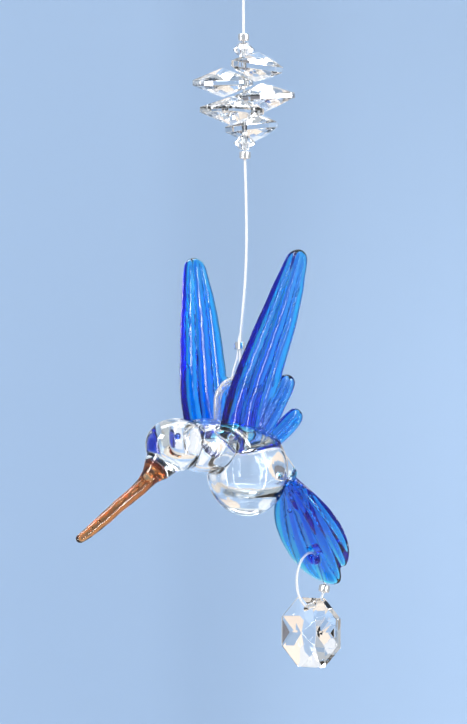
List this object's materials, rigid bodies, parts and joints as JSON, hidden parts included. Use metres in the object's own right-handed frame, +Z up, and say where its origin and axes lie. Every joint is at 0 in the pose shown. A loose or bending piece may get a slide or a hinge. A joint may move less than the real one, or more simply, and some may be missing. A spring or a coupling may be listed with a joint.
{
  "type": "hanging glass suncatcher",
  "caption": "Blown glass hummingbird suncatcher with a crystal cluster on a fine line and a faceted drop; hangs in a window to catch light.",
  "frame": {"origin": "the point inside the top of the hanging ring where a hook carries it", "axes": "+Z up along the hanging line; seen from -Y the bird's beak points to -X, as in the picture"},
  "size_m": [0.0617, 0.0442, 0.1712],
  "materials": {
    "clear_glass": "glossy",
    "blue_glass": "glossy",
    "amber_glass": "glossy",
    "crystal": "polished facets",
    "nylon_line": "translucent",
    "silver": "polished"
  },
  "bodies": {
    "root": {"hanging_ring": "silver", "suspension_line": "nylon_line", "ring_crimp": "silver", "bird_crimp": "silver", "cluster_top_crimp": "silver", "cluster_top_bicone": "crystal", "cluster_crystal_1": "crystal", "cluster_crystal_2": "crystal", "cluster_crystal_3": "crystal", "cluster_crystal_4": "crystal", "cluster_crystal_5": "crystal", "cluster_bottom_bicone": "crystal", "cluster_bottom_crimp": "silver", "glass_body": "clear_glass", "beak": "amber_glass", "left_wing": "blue_glass", "right_wing": "blue_glass", "back_loop": "clear_glass", "tail": "blue_glass", "drop_loop": "nylon_line", "drop_crimp": "silver", "drop_crystal": "crystal"}
  },
  "joints": []
}
